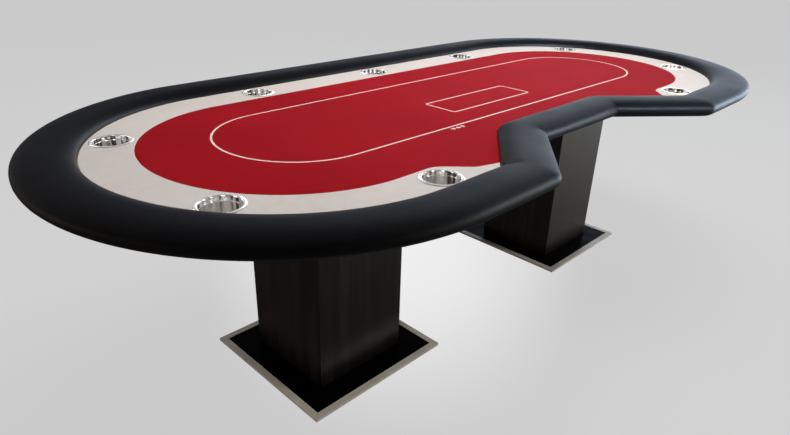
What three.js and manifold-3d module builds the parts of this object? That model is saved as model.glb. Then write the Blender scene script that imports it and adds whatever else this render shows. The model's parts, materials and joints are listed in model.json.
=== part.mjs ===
// Casino poker table with a stadium-shaped top, a dealer cut-out and two box pedestals.
// Millimetres, +Z up, +X along the table's length, origin on the floor under its centre.
// The dealer's cut-out faces -Y.

import * as THREE from 'three';
import { mergeVertices } from 'three/addons/utils/BufferGeometryUtils.js';
import Module from 'manifold-3d';

const wasm = await Module();
wasm.setup();

// ---------------------------------------------------------------- driving dimensions

const GAP = 0.3;                 // clearance between pieces that touch
const TABLE_HEIGHT = 762;        // floor to the crown of the padded rail
const HALF_STRAIGHT = 713;       // half the straight run of each long side

const FOOT_R = 514;              // end radius where the rail meets the playing surface
const RAIL_WIDTH = 134;          // rail, foot to outermost line
const CROWN_OFFSET = 57;         // rail foot to the highest line of the padding
const CROWN_RISE = 28;           // crown above the springing line on the foot side
const SPRING_INNER = 734;        // height where the foot side starts to curve
const SPRING_OUTER = 735.3;      // height of the rail's widest line
const RAIL_BOTTOM = 709.3;       // underside of the skirt that hides the deck's edge
const SKIRT_OFFSET = 97.5;       // rail foot to the skirt's inner side
const COVER_THICKNESS = 2;

const NOTCH_HALF = 250;          // half the flat of the cut-out, at the rail foot
const NOTCH_FOOT = 314;          // cut-out's flat, distance from the centre line
const NOTCH_SLOPE = THREE.MathUtils.degToRad(38);
const NOTCH_TOP_RADII = [78, 14];     // corner radii at the foot and at the outer line
const NOTCH_MOUTH_RADII = [14, 52];

const FELT_R = 391;              // end radius of the cloth area
const TAIL_SHOULDER = [603, 62];      // race track tail: corner x and radius
const TAIL_WAIST = [529, 460, 38];    // corner x, y and radius
const TAIL_TIP_Y = 479;          // where the tail runs out on the rail foot

const DECK_BOTTOM = 709.6;
const DECK_THICKNESS = 12;
const DECK_OFFSET = 94;          // deck edge, measured out from the rail foot
const RACE_BOARD_THICKNESS = 9.4;
const RACE_COVER_THICKNESS = 2.3;
const PLAY_BOARD_THICKNESS = 5.4;
const PLAY_FOAM_THICKNESS = 3.6;
const CLOTH_THICKNESS = 1.5;

const CUP_FLANGE_R = 52.5;
const CUP_BODY_R = 45.5;
const CUP_DEPTH = 76;
const CUP_WALL = 1.2;
const CUP_HOLE_R = 47;
const CUP_ROW_Y = 452.5;
const CUP_LONG_X = 525;
const CUP_NEAR_X = 645;
const CUP_END_ANGLE = THREE.MathUtils.degToRad(35);

const PEDESTAL_X = 600;
const PEDESTAL_Y = 15;
const COLUMN_WIDTH = 321;
const PANEL_THICKNESS = 18;
const TOP_PLATE_WIDTH = 440;
const TOP_PLATE_THICKNESS = 18;
const BASE_WIDTH = 506;
const BASE_TOP = 9;
const BASE_THICKNESS = 6.5;
const TRIM_WIDTH = 20;
const TRIM_THICKNESS = 1.2;
const TRIM_BOTTOM = 1.8;
const GLIDE_R = 18;
const GLIDE_HEIGHT = 2.2;

const BEAM_Y = 260;
const BEAM_WIDTH = 36;
const BEAM_HEIGHT = 60;
const BEAM_HALF_LENGTH = 900;
const BATTEN_X = 860;

const BOLT_R = 4;
const BOLT_HEAD_R = 8;
const BOLT_HEAD_HEIGHT = 5.3;
const BOLT_OFFSET = 48;          // bolt line, measured out from the rail foot
const BOLT_HOLE_R = 4.8;
const BOLT_TIP = 731;

const END_STEPS = 10;            // facets in a quarter turn of the table's end
const NOTCH_STEPS = 4;
const HOLE_STEPS = 18;
const CUP_STEPS = 24;

// ---------------------------------------------------------------- materials

const leatherette = { color: 0x1d1c21, roughness: 0.5, metalness: 0 };
const foam = { color: 0xcfc7a0, roughness: 0.95, metalness: 0 };
const plywood = { color: 0xb08d5e, roughness: 0.8, metalness: 0 };
const ivoryVinyl = { color: 0xd9d2ca, roughness: 0.55, metalness: 0 };
const redCloth = { color: 0xb01822, roughness: 0.95, metalness: 0 };
const steel = { color: 0xd5d5d5, roughness: 0.15, metalness: 1 };
const zinc = { color: 0x9a9ca0, roughness: 0.4, metalness: 1 };
const darkOak = { color: 0x1a1511, roughness: 0.45, metalness: 0 };
const blackGloss = { color: 0x070707, roughness: 0.25, metalness: 0 };
const trimMetal = { color: 0xa7a093, roughness: 0.35, metalness: 1 };
const blackNylon = { color: 0x101010, roughness: 0.7, metalness: 0 };

const group = new THREE.Group();

function addMesh(parent, name, geometry, finish, position = [0, 0, 0]) {
  const mesh = new THREE.Mesh(geometry, new THREE.MeshStandardMaterial(finish));
  mesh.name = name;
  mesh.position.set(...position);
  parent.add(mesh);
  return mesh;
}

// ---------------------------------------------------------------- outline helpers

const lerp = THREE.MathUtils.lerp;

// A corner is [x, y, radius, steps]. Each edge of the counter-clockwise outline moves in by distance.
function insetCorners(corners, distance) {
  return corners.map(([x, y, radius, steps], i) => {
    const before = corners[(i + corners.length - 1) % corners.length];
    const after = corners[(i + 1) % corners.length];
    const a = new THREE.Vector2(x - before[0], y - before[1]).normalize();
    const b = new THREE.Vector2(after[0] - x, after[1] - y).normalize();
    const mitre = distance / (1 + a.dot(b));
    const side = Math.sign(a.cross(b));
    const newRadius = Math.max(radius - side * distance, 0);
    return [x - (a.y + b.y) * mitre, y + (a.x + b.x) * mitre, newRadius, steps];
  });
}

// Rounds every corner with an arc of its own radius and returns the outline's points.
function roundedPoints(corners) {
  const points = [];
  corners.forEach(([x, y, radius, steps], i) => {
    const before = corners[(i + corners.length - 1) % corners.length];
    const after = corners[(i + 1) % corners.length];
    const toBefore = new THREE.Vector2(before[0] - x, before[1] - y).normalize();
    const toAfter = new THREE.Vector2(after[0] - x, after[1] - y).normalize();
    const halfAngle = Math.acos(THREE.MathUtils.clamp(toBefore.dot(toAfter), -1, 1)) / 2;
    if (radius < 0.01) {
      points.push(new THREE.Vector2(x, y));
      return;
    }
    const bisector = toBefore.clone().add(toAfter).normalize();
    const centre = bisector.multiplyScalar(radius / Math.sin(halfAngle)).add(new THREE.Vector2(x, y));
    const reach = radius / Math.tan(halfAngle);
    const start = new THREE.Vector2(x, y).addScaledVector(toBefore, reach).sub(centre);
    const turn = Math.sign(toAfter.cross(toBefore)) * (Math.PI - 2 * halfAngle);
    for (let k = 0; k <= steps; k += 1) {
      points.push(start.clone().rotateAround(new THREE.Vector2(), turn * k / steps).add(centre));
    }
  });
  return points.filter((p, i) => p.distanceTo(points[(i + 1) % points.length]) > 0.01);
}

function mirrored(corners) {
  return corners.map(([x, y, radius, steps]) => [-x, y, radius, steps]).reverse();
}

function endCorners(radius) {
  const x = HALF_STRAIGHT + radius;
  return [[x, -radius, radius, END_STEPS], [x, radius, radius, END_STEPS]];
}

// ---------------------------------------------------------------- rail outline

const mitreShift = Math.tan(NOTCH_SLOPE / 2);
// Half the cut-out's width at a distance from the centre line, measured on the rail foot.
const notchHalfAt = (distance) => NOTCH_HALF + (distance - NOTCH_FOOT) / Math.tan(NOTCH_SLOPE);

// The rail's outline at an offset outwards from its foot, counter-clockwise.
function railCorners(offset) {
  const share = offset / RAIL_WIDTH;
  const topRadius = lerp(...NOTCH_TOP_RADII, share);
  const mouthRadius = lerp(...NOTCH_MOUTH_RADII, share);
  const shift = offset * mitreShift;
  const right = [
    [NOTCH_HALF - shift, -NOTCH_FOOT - offset, topRadius, NOTCH_STEPS],
    [notchHalfAt(FOOT_R) - shift, -FOOT_R - offset, mouthRadius, NOTCH_STEPS],
    ...endCorners(FOOT_R + offset),
  ];
  return [...right, ...mirrored(right)];
}

// Sweeps a closed section of [offset, height] pairs round the rail's outline.
function sweepRail(section) {
  const loops = section.map(([offset]) => roundedPoints(railCorners(offset)));
  const steps = loops[0].length;
  const positions = [];
  section.forEach(([, height], j) => {
    loops[j].forEach((point) => positions.push(point.x, point.y, height));
  });
  const index = [];
  section.forEach((_, j) => {
    const next = (j + 1) % section.length;
    for (let i = 0; i < steps; i += 1) {
      const ahead = (i + 1) % steps;
      const corners = [j * steps + i, j * steps + ahead, next * steps + ahead, next * steps + i];
      index.push(corners[0], corners[1], corners[2], corners[0], corners[2], corners[3]);
    }
  });
  const geometry = new THREE.BufferGeometry();
  geometry.setAttribute('position', new THREE.Float32BufferAttribute(positions, 3));
  geometry.setIndex(index);
  return geometry;
}

// Points of a quarter superellipse, the first angle left out.
function quarter(centre, semi, exponent, fromDeg, toDeg, steps) {
  const points = [];
  for (let k = 1; k <= steps; k += 1) {
    const angle = THREE.MathUtils.degToRad(lerp(fromDeg, toDeg, k / steps));
    const power = 2 / exponent;
    const across = Math.sign(Math.cos(angle)) * Math.abs(Math.cos(angle)) ** power;
    const up = Math.sign(Math.sin(angle)) * Math.abs(Math.sin(angle)) ** power;
    points.push([centre[0] + semi[0] * across, centre[1] + semi[1] * up]);
  }
  return points;
}

// The padded profile from the foot over the crown, drawn in by depth, down to the widest line.
function crownProfile(depth) {
  const rise = TABLE_HEIGHT - SPRING_OUTER;
  return [
    [depth, SPRING_INNER],
    ...quarter([CROWN_OFFSET, SPRING_INNER], [CROWN_OFFSET - depth, CROWN_RISE - depth], 2.3, 180, 90, 3),
    ...quarter([CROWN_OFFSET, SPRING_OUTER], [RAIL_WIDTH - CROWN_OFFSET - depth, rise - depth], 2.6, 90, 0, 4),
  ];
}

// The rounded underside of the skirt, from the widest line down to its inner edge.
function skirtProfile(depth) {
  const semi = [RAIL_WIDTH - SKIRT_OFFSET - depth, SPRING_OUTER - RAIL_BOTTOM - depth];
  return quarter([SKIRT_OFFSET, SPRING_OUTER], semi, 2, 0, -90, 3);
}

// ---------------------------------------------------------------- padded rail

const deckTop = DECK_BOTTOM + DECK_THICKNESS;
const seat = deckTop + GAP;      // the rail and both top boards stand on this level
const seatInside = seat + COVER_THICKNESS;
const FOOT_LIP = 16;             // turned-under edges of the cover, foot side and skirt side
const SKIRT_LIP = 80;
const RAIL_BASE_THICKNESS = 9;
const FOAM_DEPTH = COVER_THICKNESS + 0.8;

const coverOutside = [
  [FOOT_LIP, seat],
  [0, seat],
  ...crownProfile(0),
  ...skirtProfile(0),
  [SKIRT_OFFSET - COVER_THICKNESS, RAIL_BOTTOM],
  [SKIRT_OFFSET - COVER_THICKNESS, seat],
  [SKIRT_LIP, seat],
];
const coverInside = [
  [FOOT_LIP, seatInside],
  [COVER_THICKNESS, seatInside],
  ...crownProfile(COVER_THICKNESS),
  ...skirtProfile(COVER_THICKNESS),
  [SKIRT_OFFSET, seatInside],
  [SKIRT_LIP, seatInside],
];
addMesh(group, 'rail_cover', sweepRail([...coverInside, ...coverOutside.reverse()]), leatherette);

const baseFloor = seatInside + GAP;
const railBaseTop = baseFloor + RAIL_BASE_THICKNESS;
const foamSection = [
  [FOAM_DEPTH, railBaseTop + GAP],
  ...crownProfile(FOAM_DEPTH),
  ...skirtProfile(FOAM_DEPTH).slice(0, -1),
  [SKIRT_OFFSET + 1, RAIL_BOTTOM + FOAM_DEPTH],
  [SKIRT_OFFSET + 1, railBaseTop + GAP],
];
addMesh(group, 'rail_foam', sweepRail(foamSection.reverse()), foam);

const railBase = [
  [FOAM_DEPTH, baseFloor],
  [DECK_OFFSET, baseFloor],
  [DECK_OFFSET, railBaseTop],
  [FOAM_DEPTH, railBaseTop],
];

// Bolt positions on the line that runs BOLT_OFFSET outside the rail foot.
const boltRing = FOOT_R + BOLT_OFFSET;
const boltDiagonal = boltRing * Math.SQRT1_2;
const boltPlaces = {
  far_left: [-400, boltRing],
  far_right: [400, boltRing],
  end_left_far: [-HALF_STRAIGHT - boltDiagonal, boltDiagonal],
  end_left_near: [-HALF_STRAIGHT - boltDiagonal, -boltDiagonal],
  end_right_far: [HALF_STRAIGHT + boltDiagonal, boltDiagonal],
  end_right_near: [HALF_STRAIGHT + boltDiagonal, -boltDiagonal],
  notch_left: [-150, -NOTCH_FOOT - BOLT_OFFSET],
  notch_right: [150, -NOTCH_FOOT - BOLT_OFFSET],
};

function toManifold(geometry) {
  const bare = geometry.clone();
  bare.deleteAttribute('normal');
  bare.deleteAttribute('uv');
  const merged = mergeVertices(bare, 1e-4);
  return new wasm.Manifold(new wasm.Mesh({
    numProp: 3,
    vertProperties: new Float32Array(merged.attributes.position.array),
    triVerts: new Uint32Array(merged.index.array),
  }));
}

function fromManifold(solid) {
  const mesh = solid.getMesh();
  const geometry = new THREE.BufferGeometry();
  geometry.setAttribute('position', new THREE.BufferAttribute(mesh.vertProperties, 3));
  geometry.setIndex(new THREE.BufferAttribute(mesh.triVerts, 1));
  return geometry;
}

function upright(radius, height, steps) {
  return new THREE.CylinderGeometry(radius, radius, height, steps).rotateX(Math.PI / 2);
}

let railBaseSolid = toManifold(sweepRail(railBase));
for (const [x, y] of Object.values(boltPlaces)) {
  const drill = upright(BOLT_HOLE_R, 40, 10).translate(x, y, baseFloor);
  railBaseSolid = railBaseSolid.subtract(toManifold(drill));
}
addMesh(group, 'rail_base', fromManifold(railBaseSolid), plywood);

const boltProfile = [
  [0, DECK_BOTTOM - GAP - BOLT_HEAD_HEIGHT],
  [BOLT_HEAD_R, DECK_BOTTOM - GAP - BOLT_HEAD_HEIGHT],
  [BOLT_HEAD_R, DECK_BOTTOM - GAP],
  [BOLT_R, DECK_BOTTOM - GAP],
  [BOLT_R, BOLT_TIP],
  [0, BOLT_TIP],
];

// A solid of revolution about +Z from [radius, height] pairs.
function turned(profile, steps) {
  const points = profile.map(([radius, height]) => new THREE.Vector2(radius, height));
  return new THREE.LatheGeometry(points, steps).rotateX(Math.PI / 2);
}

for (const [place, [x, y]] of Object.entries(boltPlaces)) {
  addMesh(group, `rail_bolt_${place}`, turned(boltProfile, 8), zinc, [x, y, 0]);
}

// ---------------------------------------------------------------- cup places

const endX = HALF_STRAIGHT + CUP_ROW_Y * Math.cos(CUP_END_ANGLE);
const endY = CUP_ROW_Y * Math.sin(CUP_END_ANGLE);
const cupPlaces = {
  far_left: [-CUP_LONG_X, CUP_ROW_Y],
  far_middle: [0, CUP_ROW_Y],
  far_right: [CUP_LONG_X, CUP_ROW_Y],
  end_left_far: [-endX, endY],
  end_left_near: [-endX, -endY],
  end_right_far: [endX, endY],
  end_right_near: [endX, -endY],
  near_left: [-CUP_NEAR_X, -CUP_ROW_Y],
  near_right: [CUP_NEAR_X, -CUP_ROW_Y],
};

// ---------------------------------------------------------------- flat boards of the top

function circleHole([x, y], radius, steps) {
  const points = [];
  for (let k = 0; k < steps; k += 1) {
    const angle = -2 * Math.PI * k / steps;
    points.push(new THREE.Vector2(x + radius * Math.cos(angle), y + radius * Math.sin(angle)));
  }
  return new THREE.Path(points);
}

function board(corners, bottom, thickness, holes = []) {
  const shape = new THREE.Shape(roundedPoints(corners));
  shape.holes = holes;
  const geometry = new THREE.ExtrudeGeometry(shape, { depth: thickness, bevelEnabled: false, steps: 1 });
  return geometry.translate(0, 0, bottom);
}

const cupHoles = Object.values(cupPlaces).map((place) => circleHole(place, CUP_HOLE_R, HOLE_STEPS));
const boltHoles = Object.values(boltPlaces).map((place) => circleHole(place, BOLT_HOLE_R, 8));

// Half of the line between cloth and race track, from the tail's tip to the far side's end.
const feltHalf = [
  [notchHalfAt(TAIL_TIP_Y), -TAIL_TIP_Y, 0, 1],
  [TAIL_WAIST[0], -TAIL_WAIST[1], TAIL_WAIST[2], NOTCH_STEPS],
  [TAIL_SHOULDER[0], -FELT_R, TAIL_SHOULDER[1], NOTCH_STEPS],
  ...endCorners(FELT_R),
];

const feltCorners = [
  [NOTCH_HALF, -NOTCH_FOOT, NOTCH_TOP_RADII[0], NOTCH_STEPS],
  ...feltHalf,
  ...mirrored(feltHalf),
  [-NOTCH_HALF, -NOTCH_FOOT, NOTCH_TOP_RADII[0], NOTCH_STEPS],
];

const raceOuterHalf = [
  [notchHalfAt(FOOT_R), -FOOT_R, NOTCH_MOUTH_RADII[0], NOTCH_STEPS],
  ...endCorners(FOOT_R),
];
const raceCorners = [
  ...raceOuterHalf,
  ...mirrored(raceOuterHalf),
  ...mirrored(feltHalf).reverse(),
  ...[...feltHalf].reverse(),
];

const deckShape = railCorners(DECK_OFFSET);
addMesh(group, 'base_deck', board(deckShape, DECK_BOTTOM, DECK_THICKNESS, [...cupHoles, ...boltHoles]), plywood);

const raceOutline = insetCorners(raceCorners, GAP);
addMesh(group, 'race_track_board', board(raceOutline, seat, RACE_BOARD_THICKNESS, cupHoles), plywood);
const raceCoverBottom = seat + RACE_BOARD_THICKNESS + GAP;
const raceCover = board(raceOutline, raceCoverBottom, RACE_COVER_THICKNESS, cupHoles);
addMesh(group, 'race_track_cover', raceCover, ivoryVinyl);

const feltOutline = insetCorners(feltCorners, GAP);
const foamFloor = seat + PLAY_BOARD_THICKNESS + GAP;
const clothFloor = foamFloor + PLAY_FOAM_THICKNESS + GAP;
addMesh(group, 'playfield_board', board(feltOutline, seat, PLAY_BOARD_THICKNESS), plywood);
addMesh(group, 'playfield_foam', board(feltOutline, foamFloor, PLAY_FOAM_THICKNESS), foam);
addMesh(group, 'playing_cloth', board(feltOutline, clothFloor, CLOTH_THICKNESS), redCloth);

// ---------------------------------------------------------------- cup holders

const flangeBottom = raceCoverBottom + RACE_COVER_THICKNESS + GAP;
const flangeTop = flangeBottom + 1.5;
const cupBottom = flangeTop - CUP_DEPTH;
const cupProfile = [
  [0, cupBottom],
  [CUP_BODY_R - 3, cupBottom],
  [CUP_BODY_R, flangeBottom],
  [CUP_FLANGE_R, flangeBottom],
  [CUP_FLANGE_R - 0.8, flangeTop],
  [CUP_BODY_R - CUP_WALL, flangeTop],
  [CUP_BODY_R - 3 - CUP_WALL, cupBottom + CUP_WALL],
  [0, cupBottom + CUP_WALL],
];
for (const [place, [x, y]] of Object.entries(cupPlaces)) {
  addMesh(group, `cup_holder_${place}`, turned(cupProfile, CUP_STEPS), steel, [x, y, 0]);
}

// ---------------------------------------------------------------- under-frame

const beamCentre = DECK_BOTTOM - GAP - BEAM_HEIGHT / 2;
const beam = new THREE.BoxGeometry(2 * BEAM_HALF_LENGTH, BEAM_WIDTH, BEAM_HEIGHT);
addMesh(group, 'deck_beam_near', beam, plywood, [0, -BEAM_Y, beamCentre]);
addMesh(group, 'deck_beam_far', beam, plywood, [0, BEAM_Y, beamCentre]);
const battenLength = 2 * BEAM_Y - BEAM_WIDTH - 2 * GAP;
const batten = new THREE.BoxGeometry(BEAM_WIDTH, battenLength, BEAM_HEIGHT);
addMesh(group, 'cross_batten_left', batten, plywood, [-BATTEN_X, 0, beamCentre]);
addMesh(group, 'cross_batten_right', batten, plywood, [BATTEN_X, 0, beamCentre]);

// ---------------------------------------------------------------- pedestals

const plateTop = DECK_BOTTOM - GAP;
const columnTop = plateTop - TOP_PLATE_THICKNESS - GAP;
const columnBottom = BASE_TOP + GAP;

// One wall of the column: a mitred plank standing on the -Y side of a square.
function columnPanel() {
  const outer = COLUMN_WIDTH / 2;
  const inner = outer - PANEL_THICKNESS;
  const shape = new THREE.Shape([
    new THREE.Vector2(-outer + GAP, -outer),
    new THREE.Vector2(outer - GAP, -outer),
    new THREE.Vector2(inner - GAP, -inner),
    new THREE.Vector2(-inner + GAP, -inner),
  ]);
  const options = { depth: columnTop - columnBottom, bevelEnabled: false, steps: 1 };
  return new THREE.ExtrudeGeometry(shape, options).translate(0, 0, columnBottom);
}

// Angle edging along the -Y side of the base, with its ends mitred at 45 degrees.
function trimStrip() {
  const top = BASE_TOP + GAP + TRIM_THICKNESS;
  const skirt = TRIM_THICKNESS;
  const section = [
    [0, TRIM_BOTTOM],
    [skirt, TRIM_BOTTOM],
    [skirt, BASE_TOP + GAP],
    [TRIM_WIDTH, BASE_TOP + GAP],
    [TRIM_WIDTH, top],
    [0, top],
  ];
  const positions = [];
  for (const side of [-1, 1]) {
    for (const [inset, height] of section) {
      const half = BASE_WIDTH / 2 - inset;
      positions.push(side * (half - GAP), -half, height);
    }
  }
  const contour = section.map(([inset, height]) => new THREE.Vector2(inset, height));
  const count = section.length;
  const index = [];
  for (let k = 0; k < count; k += 1) {
    const next = (k + 1) % count;
    index.push(k, next, next + count, k, next + count, k + count);
  }
  for (const [a, b, c] of THREE.ShapeUtils.triangulateShape(contour, [])) {
    index.push(a, c, b, a + count, b + count, c + count);
  }
  const geometry = new THREE.BufferGeometry();
  geometry.setAttribute('position', new THREE.Float32BufferAttribute(positions, 3));
  geometry.setIndex(index);
  return geometry;
}

const boardWidth = BASE_WIDTH - 2 * (TRIM_THICKNESS + GAP);
const glideInset = BASE_WIDTH / 2 - 45;
const sides = ['near', 'right', 'far', 'left'];
const cornersOfBase = [['near_left', -1, -1], ['near_right', 1, -1], ['far_right', 1, 1], ['far_left', -1, 1]];

for (const [side, sign] of [['left', -1], ['right', 1]]) {
  const pedestal = new THREE.Group();
  pedestal.position.set(sign * PEDESTAL_X, PEDESTAL_Y, 0);
  group.add(pedestal);

  const plate = new THREE.BoxGeometry(TOP_PLATE_WIDTH, TOP_PLATE_WIDTH, TOP_PLATE_THICKNESS);
  addMesh(pedestal, `${side}_top_plate`, plate, plywood, [0, 0, plateTop - TOP_PLATE_THICKNESS / 2]);
  const base = new THREE.BoxGeometry(boardWidth, boardWidth, BASE_THICKNESS);
  addMesh(pedestal, `${side}_base_board`, base, blackGloss, [0, 0, BASE_TOP - BASE_THICKNESS / 2]);

  sides.forEach((face, quarterTurn) => {
    const turn = quarterTurn * Math.PI / 2;
    addMesh(pedestal, `${side}_column_panel_${face}`, columnPanel(), darkOak).rotation.z = turn;
    addMesh(pedestal, `${side}_base_trim_${face}`, trimStrip(), trimMetal).rotation.z = turn;
  });
  for (const [corner, x, y] of cornersOfBase) {
    const glide = upright(GLIDE_R, GLIDE_HEIGHT, 14);
    const place = [x * glideInset, y * glideInset, GLIDE_HEIGHT / 2];
    addMesh(pedestal, `${side}_glide_${corner}`, glide, blackNylon, place);
  }
}

export default group;
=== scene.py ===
"""The looks of a casino poker table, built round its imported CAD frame. Metres, +Z up, +X along the table."""

import json
import math

import bmesh
import bpy
from mathutils import Matrix, Vector, noise

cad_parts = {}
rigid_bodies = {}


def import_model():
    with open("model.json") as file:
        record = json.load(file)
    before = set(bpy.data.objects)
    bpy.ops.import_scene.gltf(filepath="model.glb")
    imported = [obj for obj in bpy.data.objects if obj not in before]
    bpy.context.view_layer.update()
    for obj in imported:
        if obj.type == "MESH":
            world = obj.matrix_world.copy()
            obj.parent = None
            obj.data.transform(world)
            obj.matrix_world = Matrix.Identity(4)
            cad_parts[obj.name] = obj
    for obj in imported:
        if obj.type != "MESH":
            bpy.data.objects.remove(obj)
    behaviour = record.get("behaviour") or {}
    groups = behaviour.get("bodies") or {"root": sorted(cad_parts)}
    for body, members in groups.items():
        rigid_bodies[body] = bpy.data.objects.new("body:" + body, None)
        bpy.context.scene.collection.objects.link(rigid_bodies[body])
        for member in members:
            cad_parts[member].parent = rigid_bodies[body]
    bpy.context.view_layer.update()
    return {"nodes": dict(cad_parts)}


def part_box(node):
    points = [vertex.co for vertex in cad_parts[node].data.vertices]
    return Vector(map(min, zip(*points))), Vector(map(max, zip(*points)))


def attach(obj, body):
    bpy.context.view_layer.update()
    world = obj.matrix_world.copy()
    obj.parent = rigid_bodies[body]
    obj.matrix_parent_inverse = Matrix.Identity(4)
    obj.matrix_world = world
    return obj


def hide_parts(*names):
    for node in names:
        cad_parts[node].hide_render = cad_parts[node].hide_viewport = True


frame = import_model()
scene = bpy.context.scene
scene.view_settings.view_transform = "Standard"

# ------------------------------------------------------------------ sizes taken from the frame

GAP = 0.0003
rail_low, rail_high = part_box("rail_cover")
race_low, race_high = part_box("race_track_cover")
cloth_low, cloth_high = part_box("playing_cloth")
foam_low, foam_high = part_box("playfield_foam")
deck_low, deck_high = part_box("base_deck")

OUTER_R = rail_high.y
HALF_STRAIGHT = rail_high.x - rail_high.y
FOOT_R = race_high.y + GAP
FELT_R = cloth_high.y + GAP
RAIL_WIDTH = OUTER_R - FOOT_R
RAIL_SEAT = deck_high.z + GAP

# The rail's profile, measured from its foot.
CROWN_OFFSET = 0.057
CROWN_RISE = 0.028
SPRING_OUTER = rail_low.z + 0.026
SKIRT_OFFSET = 0.0975
COVER_THICKNESS = 0.0018
FOOT_LIP = 0.016
SKIRT_LIP = 0.080

# The dealer's cut-out and the race track's tails.
NOTCH_HALF = 0.250
NOTCH_FOOT = 0.314
NOTCH_SLOPE = math.radians(38)
NOTCH_TOP_RADII = (0.078, 0.014)
NOTCH_MOUTH_RADII = (0.014, 0.052)
TAIL_SHOULDER = (0.603, 0.062)
TAIL_WAIST = (0.529, 0.460, 0.038)
TAIL_TIP_Y = 0.479

# The cup holders' holes in the race track's cover.
CUP_HOLE_R = 0.047

# What is printed on the cloth.
BETTING_HALF = 0.698
BETTING_R = 0.2265
BETTING_PLACE = (0.0125, 0.0165)
CARD_BOX = (0.201, 0.0605)
CARD_BOX_PLACE = (0.004, -0.0565)
CARD_BOX_R = 0.010
LINE_WIDTH = 0.006
INK_THICKNESS = 0.0002
SUIT_WIDTH = 0.016
SUIT_ROW = (-0.335, -0.228)
SUIT_STEP = 0.020

END_STEPS = 44
CORNER_STEPS = 16
STRAIGHT_STEP = 0.03


# ------------------------------------------------------------------ shader helpers


# The Mix node's sockets for colours, which share their names with those for numbers.
MIX_FACTOR, MIX_FIRST, MIX_SECOND, MIX_RESULT = 0, 6, 7, 2


class Shader:
    """One node material around a Principled shader."""

    def __init__(self, name, **sockets):
        self.material = bpy.data.materials.new(name)
        self.material.use_nodes = True
        self.tree = self.material.node_tree
        self.bsdf = self.tree.nodes["Principled BSDF"]
        self.place = self.add("TexCoord").outputs["Object"]
        for socket, value in sockets.items():
            self.put(self.bsdf, socket.replace("_", " "), value)

    def put(self, node, socket, value):
        if isinstance(value, bpy.types.NodeSocket):
            self.tree.links.new(value, node.inputs[socket])
        else:
            node.inputs[socket].default_value = value

    def add(self, kind, settings=None, **inputs):
        node = self.tree.nodes.new("ShaderNode" + kind)
        for key, value in (settings or {}).items():
            setattr(node, key, value)
        for socket, value in inputs.items():
            self.put(node, socket.replace("_", " "), value)
        return node

    def stretched(self, x, y, z):
        """The object coordinates scaled by a different amount along each axis."""
        return self.add("Mapping", Vector=self.place, Scale=(x, y, z)).outputs["Vector"]

    def noise(self, scale, vector=None, detail=3.0, roughness=0.5):
        vector = self.place if vector is None else vector
        node = self.add("TexNoise", Vector=vector, Scale=scale, Detail=detail, Roughness=roughness)
        return node.outputs["Fac"]

    def cells(self, scale, feature="F1"):
        node = self.add("TexVoronoi", {"feature": feature}, Vector=self.place, Scale=scale)
        return node.outputs["Distance"]

    def math(self, operation, first, second=0.0):
        node = self.add("Math", {"operation": operation})
        self.put(node, 0, first)
        self.put(node, 1, second)
        return node.outputs[0]

    def ramp(self, factor, *stops):
        node = self.add("ValToRGB", Fac=factor)
        elements = node.color_ramp.elements
        while len(elements) < len(stops):
            elements.new(0.5)
        for element, (position, color) in zip(elements, stops):
            element.position = position
            element.color = color if len(color) == 4 else (*color, 1.0)
        return node.outputs["Color"]

    def by_facing(self, upright, level, limit):
        """One colour on the upright faces and another on the level ones."""
        facing = self.add("SeparateXYZ", Vector=self.add("NewGeometry").outputs["True Normal"]).outputs["Z"]
        mix = self.add("Mix", {"data_type": "RGBA"})
        self.put(mix, MIX_FACTOR, self.math("GREATER_THAN", self.math("ABSOLUTE", facing), limit))
        self.put(mix, MIX_FIRST, upright)
        self.put(mix, MIX_SECOND, level)
        return mix.outputs[MIX_RESULT]

    def span(self, factor, low, high):
        node = self.add("MapRange", Value=factor, To_Min=low, To_Max=high)
        return node.outputs["Result"]

    def bump(self, height, distance, strength=1.0, normal=None):
        node = self.add("Bump", Height=height, Distance=distance, Strength=strength)
        if normal is not None:
            self.put(node, "Normal", normal)
        return node.outputs["Normal"]

    def finish(self, **sockets):
        for socket, value in sockets.items():
            self.put(self.bsdf, socket.replace("_", " "), value)
        return self.material


# ------------------------------------------------------------------ materials


def leatherette(name, dark, light, roughness, grain, gloss):
    """Embossed vinyl: pebbles of about a millimetre, soft pores and slow changes of tone."""
    s = Shader(name, Specular_IOR_Level=0.5 * gloss, Sheen_Weight=0.03 * gloss, Sheen_Roughness=0.5)
    tone = s.math("ADD", s.math("MULTIPLY", s.noise(2.5), 0.6), s.math("MULTIPLY", s.noise(38.0), 0.4))
    pebbles = s.cells(650.0, "SMOOTH_F1")
    pores = s.noise(2100.0, detail=2.0)
    creases = s.noise(14.0, detail=5.0, roughness=0.6)
    height = s.math("ADD", pebbles, s.math("MULTIPLY", pores, 0.35))
    normal = s.bump(creases, 0.0012, 0.25, s.bump(height, 0.00022 * grain, 0.9))
    worn = s.math("ADD", s.noise(9.0, detail=4.0), s.math("MULTIPLY", pebbles, 0.3))
    return s.finish(
        Base_Color=s.ramp(tone, (0.3, dark), (0.7, light)),
        Roughness=s.span(worn, roughness - 0.08, roughness + 0.1),
        Normal=normal,
    )


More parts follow.
